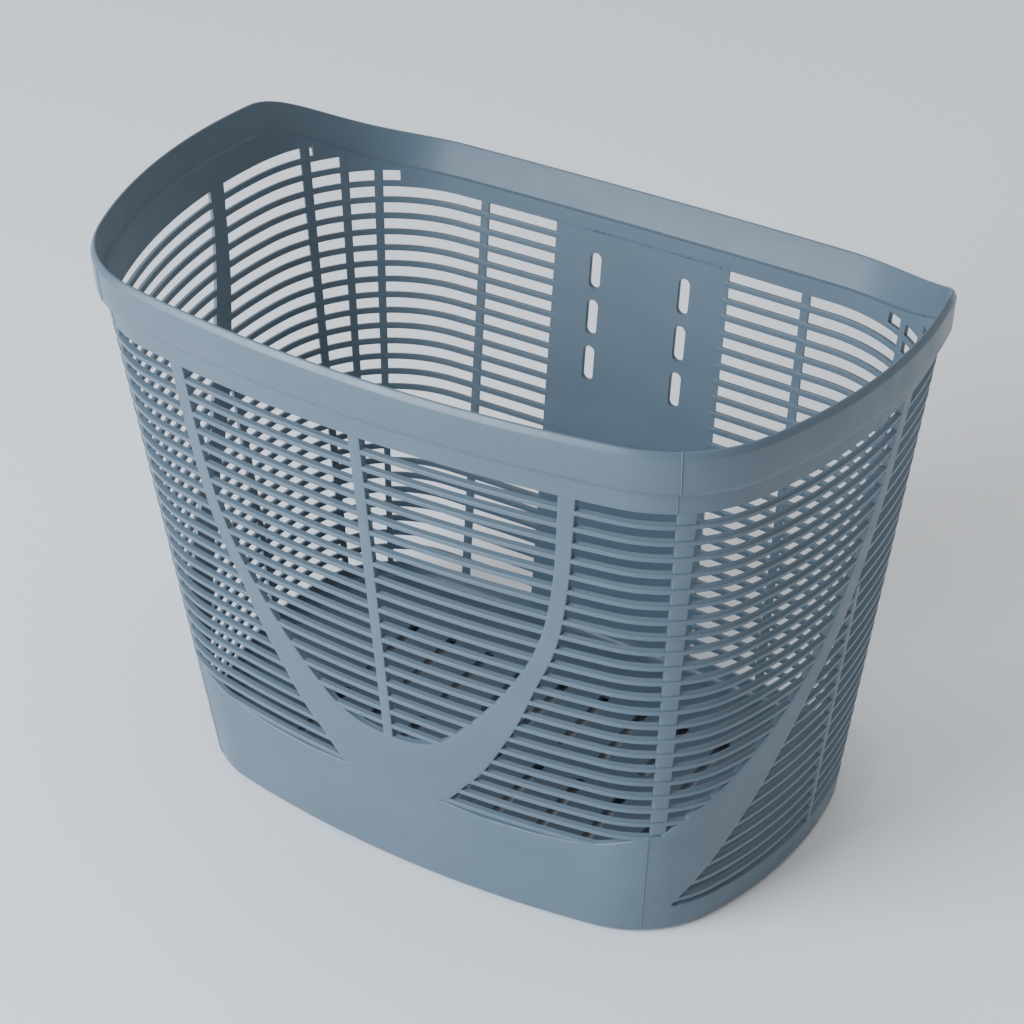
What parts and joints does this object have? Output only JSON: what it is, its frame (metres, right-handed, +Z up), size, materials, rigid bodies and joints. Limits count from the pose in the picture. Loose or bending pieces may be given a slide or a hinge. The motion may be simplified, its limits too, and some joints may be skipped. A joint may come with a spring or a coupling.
{
  "type": "handlebar basket",
  "caption": "Moulded plastic bicycle handlebar basket with slatted walls, a rim that dips at the back, and a slotted back plate for mounting.",
  "frame": {"origin": "bottom centre of the basket, in the plane it stands on", "axes": "+Z up, the decorated front looks along -Y, the slotted mounting plate is on the +Y side, +X is to the right seen from the front"},
  "size_m": [0.36, 0.2444, 0.2707],
  "materials": {
    "basket_plastic": "semi-gloss moulded polypropylene, grey-blue"
  },
  "bodies": {
    "root": {"back_corner_ladder_left": "basket_plastic", "back_corner_ladder_right": "basket_plastic", "back_ladder_left": "basket_plastic", "back_ladder_right": "basket_plastic", "corner_ladder_left": "basket_plastic", "corner_ladder_right": "basket_plastic", "end_front_ladder_left": "basket_plastic", "end_front_ladder_right": "basket_plastic", "end_rear_ladder_left": "basket_plastic", "end_rear_ladder_right": "basket_plastic", "end_strut_left": "basket_plastic", "end_strut_right": "basket_plastic", "floor": "basket_plastic", "front_ladder": "basket_plastic", "front_u_band": "basket_plastic", "mounting_plate": "basket_plastic", "rim_back": "basket_plastic", "rim_back_corner_left": "basket_plastic", "rim_back_corner_right": "basket_plastic", "rim_corner_left": "basket_plastic", "rim_corner_right": "basket_plastic", "rim_end_left": "basket_plastic", "rim_end_right": "basket_plastic", "rim_front": "basket_plastic", "skirt_back": "basket_plastic", "skirt_back_corner_left": "basket_plastic", "skirt_back_corner_right": "basket_plastic", "skirt_corner_left": "basket_plastic", "skirt_corner_right": "basket_plastic", "skirt_end_left": "basket_plastic", "skirt_end_right": "basket_plastic", "skirt_front": "basket_plastic"}
  },
  "joints": []
}
